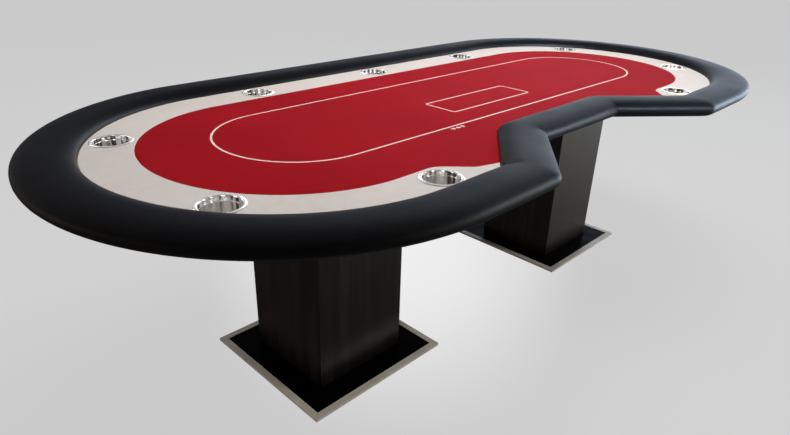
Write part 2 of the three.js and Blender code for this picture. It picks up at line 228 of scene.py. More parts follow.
def speed_cloth(name):
    """Red gaming cloth: a fine twill of crossing threads with faint lint and slow changes of dye."""
    s = Shader(name, Specular_IOR_Level=0.05, Sheen_Weight=0.05, Sheen_Roughness=0.35)
    s.bsdf.inputs["Sheen Tint"].default_value = (1.0, 0.65, 0.85, 1.0)
    warp = s.add("TexWave", {"bands_direction": "X"}, Vector=s.place, Scale=520.0, Distortion=0.4)
    weft = s.add("TexWave", {"bands_direction": "Y"}, Vector=s.place, Scale=520.0, Distortion=0.4)
    twill = s.add("TexWave", {"bands_direction": "DIAGONAL"}, Vector=s.place, Scale=260.0)
    weave = s.math("ADD", s.math("MULTIPLY", warp.outputs["Fac"], weft.outputs["Fac"]),
                   s.math("MULTIPLY", twill.outputs["Fac"], 0.5))
    lint = s.noise(420.0, detail=5.0, roughness=0.7)
    dye = s.math("ADD", s.math("MULTIPLY", s.noise(3.0, detail=2.0), 0.55),
                 s.math("MULTIPLY", lint, 0.45))
    nap = s.bump(s.noise(60.0, detail=4.0), 0.0004, 0.2, s.bump(weave, 0.00012, 0.6))
    return s.finish(
        Base_Color=s.ramp(dye, (0.32, (0.285, 0.0026, 0.0065)), (0.7, (0.375, 0.0052, 0.0105))),
        Roughness=s.span(lint, 0.62, 0.85),
        Normal=nap,
    )


def polished_steel(name):
    """Deep-drawn stainless steel: upright light and dark bands painted on the walls as reflection streaks,
    over a faint bump of draw marks, and an evenly polished flange and floor.
    """
    s = Shader(name, Metallic=0.68)
    # One upright noise: painted reflection streaks in the walls' colour, and draw marks in their bump.
    painted_streaks_and_draw_marks = s.noise(1.0, s.stretched(66.0, 66.0, 1.5), detail=1.0)
    smear = s.noise(40.0, detail=4.0)
    # Painted reflection streaks: the walls' colour runs from near black to near white in narrow upright bands,
    # on the upright faces only.
    wall = s.ramp(painted_streaks_and_draw_marks, (0.41, (0.11, 0.095, 0.085)), (0.47, (0.80, 0.77, 0.75)), (0.57, (0.98, 0.96, 0.95)))
    level = s.ramp(smear, (0.3, (0.80, 0.79, 0.78)), (0.7, (0.90, 0.89, 0.88)))
    return s.finish(
        Base_Color=s.by_facing(wall, level, 0.4),
        Roughness=s.span(smear, 0.08, 0.24),
        Normal=s.bump(painted_streaks_and_draw_marks, 0.00035, 0.4),
    )


def wood_grain(name, turn):
    """Black-brown laminate with an upright printed grain, open pores and a satin lacquer."""
    s = Shader(name, Coat_Weight=0.25, Coat_Roughness=0.35, Specular_IOR_Level=0.45)
    across = (140.0, 30.0, 3.2) if turn == "x" else (30.0, 140.0, 3.2)
    wander = s.noise(4.0, s.stretched(6.0, 6.0, 1.2), detail=2.0)
    grain = s.noise(1.0, s.stretched(*across), detail=6.0, roughness=0.65)
    figure = s.noise(1.0, s.stretched(across[0] * 0.22, across[1] * 0.22, 1.1), detail=3.0)
    pores = s.noise(1.0, s.stretched(900.0, 900.0, 16.0), detail=2.0)
    mixed = s.math("ADD", s.math("MULTIPLY", grain, 0.55), s.math("MULTIPLY", figure, 0.45))
    mixed = s.math("ADD", mixed, s.math("MULTIPLY", s.math("SUBTRACT", wander, 0.5), 0.2))
    open_pores = s.math("GREATER_THAN", pores, 0.66)
    height = s.math("SUBTRACT", grain, s.math("MULTIPLY", open_pores, 0.6))
    tone = s.ramp(
        mixed,
        (0.38, (0.0028, 0.0018, 0.0013)),
        (0.5, (0.0080, 0.0054, 0.0038)),
        (0.62, (0.028, 0.0195, 0.0135)),
    )
    return s.finish(
        Base_Color=tone,
        Roughness=s.span(mixed, 0.34, 0.5),
        Normal=s.bump(height, 0.00018, 0.5),
    )


def gloss_laminate(name):
    """Black high-gloss sheet with faint dust, smudges and orange peel."""
    s = Shader(name, Specular_IOR_Level=0.2)
    smudge = s.noise(16.0, detail=5.0, roughness=0.6)
    dust = s.math("GREATER_THAN", s.noise(900.0, detail=1.0), 0.78)
    tone = s.math("ADD", s.math("MULTIPLY", smudge, 0.6), s.math("MULTIPLY", dust, 0.25))
    return s.finish(
        Base_Color=s.ramp(tone, (0.2, (0.0010, 0.0010, 0.0012)), (0.9, (0.006, 0.006, 0.0065))),
        Roughness=s.span(smudge, 0.1, 0.32),
        Normal=s.bump(s.noise(130.0, detail=1.0), 0.0001, 0.15),
    )


def brushed_trim(name, along):
    """Champagne edging, brushed along its length, dulled and scuffed a little."""
    s = Shader(name, Metallic=0.4)
    scale = (9.0, 1500.0, 1500.0) if along == "x" else (1500.0, 9.0, 1500.0)
    brush = s.noise(1.0, s.stretched(*scale), detail=3.0)
    dull = s.noise(11.0, detail=4.0)
    tone = s.ramp(s.math("ADD", s.math("MULTIPLY", brush, 0.5), s.math("MULTIPLY", dull, 0.5)),
                  (0.3, (0.60, 0.56, 0.49)), (0.7, (0.80, 0.76, 0.69)))
    return s.finish(
        Base_Color=tone,
        Roughness=s.span(dull, 0.26, 0.42),
        Normal=s.bump(brush, 0.00006, 0.5),
    )


def plywood(name):
    """Birch plywood: long face grain, and thin light and dark layers where an edge shows."""
    s = Shader(name, Specular_IOR_Level=0.3)
    grain = s.noise(1.0, s.stretched(5.0, 95.0, 95.0), detail=5.0, roughness=0.6)
    face = s.ramp(grain, (0.3, (0.36, 0.235, 0.12)), (0.7, (0.56, 0.41, 0.25)))
    bands = s.add("TexWave", {"bands_direction": "Z"}, Vector=s.place, Scale=100.0, Distortion=0.3)
    layers = s.ramp(bands.outputs["Fac"], (0.35, (0.2, 0.115, 0.055)), (0.65, (0.55, 0.4, 0.24)))
    return s.finish(
        Base_Color=s.by_facing(layers, face, 0.5),
        Roughness=s.span(grain, 0.6, 0.8),
        Normal=s.bump(grain, 0.0003, 0.4),
    )


def upholstery_foam(name):
    """Open-celled foam with pores of about a millimetre."""
    s = Shader(name, Roughness=0.95, Specular_IOR_Level=0.2)
    pores = s.cells(900.0)
    tone = s.ramp(s.math("ADD", s.math("MULTIPLY", pores, 0.7), s.math("MULTIPLY", s.noise(6.0), 0.3)),
                  (0.2, (0.45, 0.39, 0.22)), (0.7, (0.74, 0.68, 0.46)))
    return s.finish(Base_Color=tone, Normal=s.bump(pores, 0.0006, 0.8))


def zinc_plate(name):
    """Bright zinc with a mottled passivated film."""
    s = Shader(name, Metallic=1.0)
    film = s.noise(160.0, detail=5.0)
    return s.finish(
        Base_Color=s.ramp(film, (0.3, (0.42, 0.43, 0.45)), (0.7, (0.66, 0.66, 0.64))),
        Roughness=s.span(film, 0.25, 0.45),
        Normal=s.bump(s.noise(1400.0), 0.00005, 0.4),
    )


def moulded_nylon(name):
    """Black nylon with a fine spark-eroded texture."""
    s = Shader(name, Specular_IOR_Level=0.4)
    texture = s.noise(1800.0, detail=3.0)
    return s.finish(
        Base_Color=s.ramp(s.noise(70.0), (0.3, (0.010, 0.010, 0.011)), (0.7, (0.022, 0.022, 0.023))),
        Roughness=s.span(texture, 0.55, 0.75),
        Normal=s.bump(texture, 0.00008, 0.6),
    )


def printed_ink(name):
    """White screen-printed ink that has sunk into the cloth's threads."""
    s = Shader(name, Specular_IOR_Level=0.3)
    weave = s.noise(1600.0, detail=3.0)
    patch = s.math("ADD", s.math("MULTIPLY", weave, 0.5), s.math("MULTIPLY", s.noise(90.0), 0.5))
    return s.finish(
        Base_Color=s.ramp(patch, (0.3, (0.80, 0.50, 0.47)), (0.6, (0.95, 0.76, 0.72))),
        Roughness=s.span(weave, 0.55, 0.75),
        Normal=s.bump(weave, 0.00012, 0.5),
    )


RAIL_BLACK = leatherette("rail_leatherette", (0.0015, 0.0014, 0.0021), (0.0034, 0.0031, 0.0045),
                         roughness=0.46, grain=1.0, gloss=1.0)
RACE_IVORY = leatherette("race_vinyl", (0.65, 0.59, 0.55), (0.73, 0.675, 0.635),
                         roughness=0.5, grain=0.7, gloss=0.6)
CLOTH_RED = speed_cloth("playing_cloth_red")
CUP_STEEL = polished_steel("cup_steel")
INK = printed_ink("printed_ink")
PLYWOOD = plywood("plywood")
FOAM = upholstery_foam("foam")
ZINC = zinc_plate("zinc_plated_steel")
NYLON = moulded_nylon("glide_nylon")
GLOSS = gloss_laminate("base_gloss_laminate")
GRAIN = {"x": wood_grain("column_grain_x", "x"), "y": wood_grain("column_grain_y", "y")}
TRIM = {"x": brushed_trim("trim_brushed_x", "x"), "y": brushed_trim("trim_brushed_y", "y")}

# ------------------------------------------------------------------ outlines


def lerp(a, b, share):
    return a + (b - a) * share


def moved_in(corners, distance):
    """Every edge of a counter-clockwise outline of (x, y, radius, steps) corners moves in by distance."""
    moved = []
    for i, (x, y, radius, steps) in enumerate(corners):
        here = Vector((x, y))
        a = (here - Vector(corners[i - 1][:2])).normalized()
        b = (Vector(corners[(i + 1) % len(corners)][:2]) - here).normalized()
        mitre = distance / (1 + a.dot(b))
        side = math.copysign(1, a.x * b.y - a.y * b.x)
        centre = here + Vector((-(a.y + b.y), a.x + b.x)) * mitre
        moved.append((centre.x, centre.y, max(radius - side * distance, 0.0), steps))
    return moved


def rounded(corners, straights=None):
    """The outline's points, and the number of parts in each straight, so that a second outline can match."""
    points, arcs = [], []
    count = len(corners)
    for i, (x, y, radius, steps) in enumerate(corners):
        here = Vector((x, y))
        back = (Vector(corners[i - 1][:2]) - here).normalized()
        ahead = (Vector(corners[(i + 1) % count][:2]) - here).normalized()
        if radius < 1e-5:
            arcs.append([here])
            continue
        half = math.acos(max(-1.0, min(1.0, back.dot(ahead)))) / 2
        centre = here + (back + ahead).normalized() * (radius / math.sin(half))
        start = here + back * (radius / math.tan(half)) - centre
        turn = math.copysign(math.pi - 2 * half, ahead.x * back.y - ahead.y * back.x)
        arc = []
        for k in range(steps + 1):
            angle = turn * k / steps
            spun = Matrix.Rotation(angle, 2) @ start
            arc.append(centre + spun)
        arcs.append(arc)
    if straights is None:
        runs = [(arcs[(i + 1) % count][0] - arcs[i][-1]).length for i in range(count)]
        straights = [0 if run < 1e-4 else max(1, round(run / STRAIGHT_STEP)) for run in runs]
    for i, arc in enumerate(arcs):
        following = arcs[(i + 1) % count][0]
        points += arc if straights[i] else arc[:-1]
        points += [arc[-1].lerp(following, k / straights[i]) for k in range(1, straights[i])]
    return points, straights


def mirrored(corners):
    return [(-x, y, radius, steps) for x, y, radius, steps in reversed(corners)]


def end_corners(radius):
    x = HALF_STRAIGHT + radius
    return [(x, -radius, radius, END_STEPS), (x, radius, radius, END_STEPS)]


def notch_half_at(distance):
    return NOTCH_HALF + (distance - NOTCH_FOOT) / math.tan(NOTCH_SLOPE)


def rail_corners(offset):
    """The rail's outline at an offset outwards from its foot, counter-clockwise."""
    share = offset / RAIL_WIDTH
    shift = offset * math.tan(NOTCH_SLOPE / 2)
    top = (NOTCH_HALF - shift, -NOTCH_FOOT - offset, lerp(*NOTCH_TOP_RADII, share**1.8), CORNER_STEPS)
    mouth = (notch_half_at(FOOT_R) - shift, -FOOT_R - offset, lerp(*NOTCH_MOUTH_RADII, share), CORNER_STEPS)
    right = [top, mouth, *end_corners(FOOT_R + offset)]
    return right + mirrored(right)


FELT_HALF = [
    (notch_half_at(TAIL_TIP_Y), -TAIL_TIP_Y, 0.0, 1),
    (TAIL_WAIST[0], -TAIL_WAIST[1], TAIL_WAIST[2], CORNER_STEPS),
    (TAIL_SHOULDER[0], -FELT_R, TAIL_SHOULDER[1], CORNER_STEPS),
    *end_corners(FELT_R),
]
NOTCH_TOP = (NOTCH_HALF, -NOTCH_FOOT, NOTCH_TOP_RADII[0], CORNER_STEPS)
FELT_CORNERS = [NOTCH_TOP, *FELT_HALF, *mirrored(FELT_HALF), *mirrored([NOTCH_TOP])]
RACE_OUTER = [
    (notch_half_at(FOOT_R), -FOOT_R, NOTCH_MOUTH_RADII[0], CORNER_STEPS),
    *end_corners(FOOT_R),
]
RACE_CORNERS = [*RACE_OUTER, *mirrored(RACE_OUTER), *mirrored(FELT_HALF)[::-1], *FELT_HALF[::-1]]


# ------------------------------------------------------------------ mesh helpers


def new_piece(name, vertices, faces, material, crease=40.0):
    mesh = bpy.data.meshes.new(name)
    mesh.from_pydata([tuple(v) for v in vertices], [], faces)
    mesh.validate()
    return dressed(name, mesh, material, crease)


def dressed(name, mesh, material, crease=40.0):
    """Makes an object of a mesh, with outward faces, smooth shading and a material."""
    build = bmesh.new()
    build.from_mesh(mesh)
    bmesh.ops.recalc_face_normals(build, faces=build.faces)
    build.to_mesh(mesh)
    build.free()
    mesh.shade_smooth()
    mesh.set_sharp_from_angle(angle=math.radians(crease))
    mesh.materials.append(material)
    piece = bpy.data.objects.new(name, mesh)
    scene.collection.objects.link(piece)
    return piece


def superquarter(centre, semi, exponent, start, stop, steps):
    """Points of a quarter superellipse, the first one left out."""
    points = []
    for k in range(1, steps + 1):
        angle = math.radians(lerp(start, stop, k / steps))
        across = math.copysign(abs(math.cos(angle)) ** (2 / exponent), math.cos(angle))
        up = math.copysign(abs(math.sin(angle)) ** (2 / exponent), math.sin(angle))
        points.append((centre[0] + semi[0] * across, centre[1] + semi[1] * up))
    return points


def rail_profile(depth, floor):
    """The padding's outline from the foot over the crown and round the skirt, drawn in by depth."""
    spring_inner = rail_high.z - CROWN_RISE
    rise = rail_high.z - SPRING_OUTER
    outer = RAIL_WIDTH - CROWN_OFFSET
    inner_semi = (CROWN_OFFSET - depth, CROWN_RISE - depth)
    outer_semi = (outer - depth, rise - depth)
    skirt_semi = (RAIL_WIDTH - SKIRT_OFFSET - depth, SPRING_OUTER - rail_low.z - depth)
    foot = [(depth, lerp(floor, spring_inner, k / 4)) for k in range(5)]
    return [
        *foot,
        *superquarter((CROWN_OFFSET, spring_inner), inner_semi, 2.3, 180, 90, 14),
        *superquarter((CROWN_OFFSET, SPRING_OUTER), outer_semi, 2.6, 90, 0, 18),
        *superquarter((SKIRT_OFFSET, SPRING_OUTER), skirt_semi, 2.0, 0, -90, 10),
    ]


# The rail's outline at its crown sets how the straights are divided.
STRAIGHTS = rounded(rail_corners(CROWN_OFFSET))[1]


def swept(name, section, outline_at, material):
    """Sweeps a closed section of (offset, height) points round the outlines at those offsets."""
    loops = [outline_at(offset) for offset, _ in section]
    steps = len(loops[0])
    vertices = [(p.x, p.y, height) for loop, (_, height) in zip(loops, section) for p in loop]
    faces = []
    for j in range(len(section)):
        after = (j + 1) % len(section)
        for i in range(steps):
            ahead = (i + 1) % steps
            faces.append((j * steps + i, j * steps + ahead, after * steps + ahead, after * steps + i))
    return new_piece(name, vertices, faces, material)


def sweep_rail(name, section, material):
    """Sweeps a closed section of (offset, height) points round the rail."""
    return swept(name, section, lambda offset: rounded(rail_corners(offset), STRAIGHTS)[0], material)


def notch_bends():
    """The four places at the cut-out where the rail turns tightly and its cover gathers."""
    tight_outer = rail_corners(RAIL_WIDTH)[0]
    tight_inner = rail_corners(0.0)[1]
    return [Vector((sign * x, y)) for sign in (-1, 1) for x, y, *_ in (tight_outer, tight_inner)]


PLEAT_DEPTH = 0.0005
PLEAT_REACH = 0.05
PLEATS_ROUND = 26


def settle_leather(piece):
    """Hand-stretched leatherette: slow unevenness, and short pleats where the rail turns tightly."""
    bends = notch_bends()
    mesh = piece.data
    normals = [v.normal.copy() for v in mesh.vertices]
    for vertex, normal in zip(mesh.vertices, normals):
        co = vertex.co
        depth = 0.00045 * noise.noise(co * 7.0) + 0.0002 * noise.noise(co * 23.0)
        for bend in bends:
            away = Vector((co.x, co.y)) - bend
            near = math.exp(-((away.length / PLEAT_REACH) ** 2))
            if near > 0.01:
                angle = math.atan2(away.y, away.x)
                depth += PLEAT_DEPTH * near * math.cos(angle * PLEATS_ROUND + 2 * noise.noise(co * 30.0))
        lip = min(1.0, max(0.0, (co.z - RAIL_SEAT) / 0.008))
        vertex.co = co + normal * (min(depth, 0.0) - 0.0002) * lip


def circle(place, radius, steps):
    angles = [2 * math.pi / steps * k for k in range(steps)]
    return [Vector((place[0] + radius * math.cos(a), place[1] + radius * math.sin(a))) for a in angles]


def rolled_sheet(name, corners, holes, low, high, roll, material):
    """A flat sheet whose edges, and its round holes' (x, y, radius) edges, roll over with a small radius."""
    quarter = [(roll * (1 - math.sin(a)), high - roll * (1 - math.cos(a))) for a in
               (math.radians(90 - 18 * k) for k in range(6))]
    profile = [(0.0, low), *quarter, (roll + 0.002, high)]
    build = bmesh.new()
    rims = {"top": [], "bottom": []}
    straights = rounded(corners)[1]

    def raise_rim(outline_at):
        loops = []
        for inset, z in profile:
            loops.append([build.verts.new((p.x, p.y, z)) for p in outline_at(inset)])
        for below, above in zip(loops, loops[1:]):
            for k in range(len(below)):
                after = (k + 1) % len(below)
                build.faces.new((below[k], below[after], above[after], above[k]))
        for rim, loop in (("bottom", loops[0]), ("top", loops[-1])):
            for k, vert in enumerate(loop):
                edge = build.edges.get((vert, loop[(k + 1) % len(loop)]))
                rims[rim].append(edge)

    raise_rim(lambda inset: rounded(moved_in(corners, inset), straights)[0])
    for x, y, radius in holes:
        raise_rim(lambda inset: circle((x, y), radius + inset, 64))
    for edges in rims.values():
        bmesh.ops.triangle_fill(build, use_beauty=True, use_dissolve=False, edges=edges)
    mesh = bpy.data.meshes.new(name)
    build.to_mesh(mesh)
    build.free()
    return dressed(name, mesh, material)


def turned(name, profile, centre, steps, material, crease=35.0):
    """A solid of revolution about an upright axis from (radius, height) points that start and end on it."""
    vertices, faces = [], []
    rings = []
    for radius, z in profile:
        if radius < 1e-7:
            rings.append([len(vertices)])
            vertices.append((centre[0], centre[1], z))
            continue
        rings.append(list(range(len(vertices), len(vertices) + steps)))
        vertices += [(p.x, p.y, z) for p in circle(centre, radius, steps)]
    for a, b in zip(rings, rings[1:]):
        for k in range(steps):
            after = (k + 1) % steps
            corners = [a[k % len(a)], a[after % len(a)], b[after % len(b)], b[k % len(b)]]
            faces.append(tuple(dict.fromkeys(corners)))
    return new_piece(name, vertices, faces, material, crease)


# ------------------------------------------------------------------ camera

FOCAL_PIXELS = 606.5
IMAGE_WIDTH = 790
CAMERA_PLACE = (-1.6204, -1.2604, 1.2292)
YAW, PITCH, ROLL = (math.radians(angle) for angle in (45.797, 25.302, 1.751))
camera_data = bpy.data.cameras.new("camera")
camera_data.sensor_width = 36.0
camera_data.lens = camera_data.sensor_width * FOCAL_PIXELS / IMAGE_WIDTH
camera = bpy.data.objects.new("camera", camera_data)
scene.collection.objects.link(camera)
level_turn = Matrix.Rotation(-YAW, 4, "Z")
tilt = Matrix.Rotation(math.pi / 2 - PITCH, 4, "X") @ Matrix.Rotation(ROLL, 4, "Z")
camera.matrix_world = Matrix.Translation(CAMERA_PLACE) @ level_turn @ tilt
scene.camera = camera

# ------------------------------------------------------------------ padded rail

cover_outside = [(FOOT_LIP, RAIL_SEAT), *rail_profile(0.0, RAIL_SEAT)]
cover_outside += [
    (SKIRT_OFFSET - COVER_THICKNESS, rail_low.z),
    (SKIRT_OFFSET - COVER_THICKNESS, RAIL_SEAT),
    (SKIRT_LIP, RAIL_SEAT),
]
inside_seat = RAIL_SEAT + COVER_THICKNESS
cover_inside = [(FOOT_LIP, inside_seat), *rail_profile(COVER_THICKNESS, inside_seat)]
cover_inside += [(SKIRT_OFFSET, inside_seat), (SKIRT_LIP, inside_seat)]
upholstery = sweep_rail("rail_upholstery", cover_inside + cover_outside[::-1], RAIL_BLACK)
settle_leather(upholstery)
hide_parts("rail_cover")
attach(upholstery, "table")

rail_foam_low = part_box("rail_foam")[0]
base_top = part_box("rail_base")[1].z + GAP
foam_depth = COVER_THICKNESS + 0.001
foam_section = rail_profile(foam_depth, base_top)[:-1]
foam_section += [(SKIRT_OFFSET + 0.001, rail_foam_low.z), (SKIRT_OFFSET + 0.001, base_top)]
rail_padding = sweep_rail("rail_padding", foam_section[::-1], FOAM)
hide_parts("rail_foam")
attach(rail_padding, "table")

# ------------------------------------------------------------------ race track, cloth and its foam

cup_nodes = sorted(name for name in frame["nodes"] if name.startswith("cup_holder_"))
cup_centres = {name: (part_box(name)[0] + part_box(name)[1]) / 2 for name in cup_nodes}
holes = [(centre.x, centre.y, CUP_HOLE_R) for centre in cup_centres.values()]

race = rolled_sheet("race_upholstery", moved_in(RACE_CORNERS, GAP), holes, race_low.z, race_high.z, 0.0016,
                    RACE_IVORY)
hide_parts("race_track_cover")
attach(race, "table")

cloth = rolled_sheet("speed_cloth", moved_in(FELT_CORNERS, GAP), [], cloth_low.z, cloth_high.z, 0.0011,
                     CLOTH_RED)
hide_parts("playing_cloth")
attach(cloth, "table")

foam_sheet = rolled_sheet("playfield_foam_sheet", moved_in(FELT_CORNERS, GAP), [], foam_low.z, foam_high.z,
                          0.0008, FOAM)
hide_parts("playfield_foam")
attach(foam_sheet, "table")


def ink_line(name, corners, width):
    """A printed line of one width that runs round a rounded outline, as a thin raised film."""
    straights = rounded(corners)[1]
    top = cloth_high.z + INK_THICKNESS
    edge = width / 2
    root = cloth_high.z - INK_THICKNESS
    shoulder = top - INK_THICKNESS / 2
    flat = edge - 2 * INK_THICKNESS
    section = [(-edge, root), (-edge, shoulder), (-flat, top), (flat, top), (edge, shoulder), (edge, root)]
    line = swept(name, section, lambda offset: rounded(moved_in(corners, offset), straights)[0], INK)
    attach(line, "table")


def box_corners(half_x, half_y, place, radius, steps):
    return [(place[0] + x, place[1] + y, radius, steps) for x, y in
            ((half_x, -half_y), (half_x, half_y), (-half_x, half_y), (-half_x, -half_y))]


betting_corners = box_corners(BETTING_HALF + BETTING_R, BETTING_R, BETTING_PLACE, BETTING_R, END_STEPS)
ink_line("betting_line", betting_corners, LINE_WIDTH)
ink_line("card_box_line", box_corners(*CARD_BOX, CARD_BOX_PLACE, CARD_BOX_R, 8), LINE_WIDTH * 0.9)


def heart_outline(width, steps=40):
    """A heart of a given width, point down."""
    points = []
    for k in range(steps):
        t = 2 * math.pi * k / steps
        lobes = 13 * math.cos(t) - 5 * math.cos(2 * t) - 2 * math.cos(3 * t) - math.cos(4 * t)
        points.append((16 * math.sin(t) ** 3 * width / 32, lobes * width / 32))
    return points


def spade_outline(width):
    """An upturned heart with a foot."""
    leaf = [(x, -y) for x, y in heart_outline(width)]
    cleft = leaf[0][1]
    foot = [(-0.03, cleft), (-0.05, -0.40), (-0.17, -0.52), (0.17, -0.52), (0.05, -0.40), (0.03, cleft)]
    return [(x * width, y * width if abs(y) > 0.3 else y) for x, y in foot] + leaf[1:]


def diamond_outline(width, steps=6):
    """A lozenge with slightly hollow sides."""
    corners = [(0.0, 0.62), (0.42, 0.0), (0.0, -0.62), (-0.42, 0.0)]
    points = []
    for (ax, ay), (bx, by) in zip(corners, corners[1:] + corners[:1]):
        for k in range(steps):
            share = k / steps
            hollow = 1 - 0.35 * share * (1 - share)
            points.append((lerp(ax, bx, share) * hollow * width, lerp(ay, by, share) * hollow * width))
    return points


def printed_shape(name, outline, place):
    """A printed shape, as a thin film on the cloth."""
    count = len(outline)
    heights = (cloth_high.z - INK_THICKNESS, cloth_high.z + INK_THICKNESS)
    vertices = [(place[0] + x, place[1] + y, z) for z in heights for x, y in outline]
    faces = [(k, (k + 1) % count, count + (k + 1) % count, count + k) for k in range(count)]
    faces += [tuple(range(count)), tuple(range(count, 2 * count))]
    shape = new_piece(name, vertices, faces, INK)
    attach(shape, "table")


suits = {"heart": heart_outline, "spade": spade_outline, "diamond": diamond_outline}
for k, (suit, outline_of) in enumerate(suits.items()):
    printed_shape(f"printed_{suit}", outline_of(SUIT_WIDTH), (SUIT_ROW[0] + k * SUIT_STEP, SUIT_ROW[1]))

# ------------------------------------------------------------------ cup holders


def cup_profile(low, high):
    """A spun cup: domed floor, tapering wall with a bead, rounded mouth and a flange with a rolled rim."""
    rim = (high.x - low.x) / 2
    floor, top = low.z, high.z
    wall = 0.0009
    inside = [
        (0.0, floor + wall + 0.0012), (0.012, floor + wall + 0.0010), (0.026, floor + wall + 0.0003),
        (0.034, floor + wall), (0.0385, floor + wall + 0.0006), (0.0405, floor + wall + 0.0028),
        (0.0411, floor + 0.008), (0.0428, top - 0.016), (0.0424, top - 0.0145), (0.0422, top - 0.0135),
        (0.0424, top - 0.0125), (0.0431, top - 0.011), (0.0436, top - 0.0042), (0.0440, top - 0.0020),
        (0.0449, top - 0.0006), (0.0462, top), (0.0480, top - 0.00005), (rim - 0.0018, top - 0.0003),
        (rim - 0.0007, top - 0.0006), (rim - 0.0001, top - 0.0010),
    ]
    outside = [
        (rim - 0.0003, top - 0.0014), (rim - 0.0012, top - 0.0014), (0.0466, top - 0.0012),
        (0.0454, top - 0.0022), (0.0446, top - 0.0042), (0.0440, top - 0.011), (0.0437, top - 0.016),
        (0.0420, floor + 0.008), (0.0412, floor + 0.002), (0.0392, floor + 0.0002), (0.034, floor),
        (0.012, floor + 0.0006), (0.0, floor + 0.0008),
    ]
    return inside + outside


for node in cup_nodes:
    low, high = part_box(node)
    spun = turned(node.replace("cup_holder", "spun_cup"), cup_profile(low, high), cup_centres[node], 80,
                  CUP_STEEL, crease=50.0)
    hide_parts(node)
    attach(spun, node.replace("cup_holder_", "cup_"))

# ------------------------------------------------------------------ rail bolts

THREAD_PITCH = 0.00125
THREAD_CREST = 0.0040
THREAD_ROOT = 0.0036
THREAD_TIP = 0.0031


def hex_bolt(node):
    """A bolt head-down under the deck: chamfered hexagon, washer face, washer and a grooved shank."""
    low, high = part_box(node)
    centre = (low + high) / 2
    reach = (high.x - low.x) / 2
    seat = deck_low.z - GAP
    build = bmesh.new()

    def ring(radius, z, steps):
        return [build.verts.new((p.x, p.y, z)) for p in circle(centre, radius, steps)]

    def bridge(lower, upper):
        for k in range(len(lower)):
            after = (k + 1) % len(lower)
            build.faces.new((lower[k], lower[after], upper[after], upper[k]))

    def solid(rings):
        for lower, upper in zip(rings, rings[1:]):
            bridge(lower, upper)
        build.faces.new(rings[0][::-1])
        build.faces.new(rings[-1])

    hexagon = reach * 0.82
    head_top = seat - 0.0012
    solid([ring(hexagon * 0.86, low.z, 6), ring(hexagon, low.z + 0.0009, 6), ring(hexagon, head_top, 6)])
    washer = [(reach * 0.97, seat - 0.0011), (reach, seat - 0.0008), (reach, seat - 0.0002)]
    solid([ring(radius, z, 32) for radius, z in washer])
    thread = []
    z = seat
    while z < high.z - THREAD_PITCH:
        thread += [ring(THREAD_CREST, z, 20), ring(THREAD_ROOT, z + THREAD_PITCH / 2, 20)]
        z += THREAD_PITCH
    thread.append(ring(THREAD_TIP, high.z, 20))
    solid(thread)
    name = node.replace("rail_bolt", "hex_bolt")
    mesh = bpy.data.meshes.new(name)
    build.to_mesh(mesh)
    build.free()
    bolt = dressed(name, mesh, ZINC, crease=30.0)
    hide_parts(node)
    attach(bolt, "table")


for node in sorted(frame["nodes"]):
    if node.startswith("rail_bolt_"):
        hex_bolt(node)

# ------------------------------------------------------------------ carried-over CAD pieces


def finish_node(node, material, bevel):
    """A CAD piece keeps its shape: it gets its material and a fine softened edge."""
    piece = frame["nodes"][node]
    piece.data.materials.clear()
    piece.data.materials.append(material)
    soften = piece.modifiers.new("softened_edge", "BEVEL")
    soften.width = bevel
    soften.segments = 3
    soften.limit_method = "ANGLE"
    soften.angle_limit = math.radians(35)


for side in ("left", "right"):
    finish_node(f"{side}_top_plate", PLYWOOD, 0.0008)
    finish_node(f"{side}_base_board", GLOSS, 0.0004)
    for face, along in (("near", "x"), ("far", "x"), ("left", "y"), ("right", "y")):
        finish_node(f"{side}_column_panel_{face}", GRAIN[along], 0.0005)
        finish_node(f"{side}_base_trim_{face}", TRIM[along], 0.0003)
    for corner in ("near_left", "near_right", "far_right", "far_left"):
        finish_node(f"{side}_glide_{corner}", NYLON, 0.0004)
for node in ("base_deck", "rail_base", "race_track_board", "playfield_board"):
    finish_node(node, PLYWOOD, 0.0004)
for node in ("deck_beam_near", "deck_beam_far", "cross_batten_left", "cross_batten_right"):
    finish_node(node, PLYWOOD, 0.0012)

# ------------------------------------------------------------------ floor and studio light

FLOOR_GLOW = (0.58, 0.58, 0.58, 1.0)
FLOOR_TINT = (0.08, 0.08, 0.08, 1.0)
BACKDROP_GLOW = (0.65, 0.65, 0.65, 1.0)
STUDIO_RADIUS = 90.0


def pale_floor():
    """Plain pale grey: an even glow, and a dull surface that the lamps light a little more."""
    s = Shader("pale_floor", Roughness=0.9, Specular_IOR_Level=0.0)
    return s.finish(Base_Color=FLOOR_TINT, Emission_Color=FLOOR_GLOW, Emission_Strength=1.0)


def studio_shell(name, build_faces, material):
    """A part of the studio that only the camera sees, so that it neither lights the table nor shows in it."""
    build = bmesh.new()
    build_faces(build)
    mesh = bpy.data.meshes.new(name)
    build.to_mesh(mesh)
    build.free()
    mesh.shade_smooth()
    mesh.materials.append(material)
    shell = bpy.data.objects.new(name, mesh)
    scene.collection.objects.link(shell)
    shell.visible_glossy = False
    shell.visible_diffuse = False
    shell.visible_shadow = False
    return shell


def backdrop_grey():
    """The wall far behind the floor, which starts in the floor's own grey and gets lighter upwards."""
    s = Shader("backdrop_grey", Base_Color=(0.0, 0.0, 0.0, 1.0), Specular_IOR_Level=0.0)
    rise = s.add("SeparateXYZ", Vector=s.place).outputs["Z"]
    fade = s.add("MapRange", Value=rise, From_Min=0.0, From_Max=40.0).outputs["Result"]
    glow = s.ramp(fade, (0.0, FLOOR_GLOW), (1.0, BACKDROP_GLOW))
    return s.finish(Emission_Color=glow, Emission_Strength=1.0)


floor = studio_shell("floor", lambda build: bmesh.ops.create_circle(
    build, cap_ends=True, segments=96, radius=STUDIO_RADIUS), pale_floor())
studio_shell("backdrop", lambda build: bmesh.ops.create_uvsphere(
    build, u_segments=48, v_segments=24, radius=STUDIO_RADIUS), backdrop_grey())


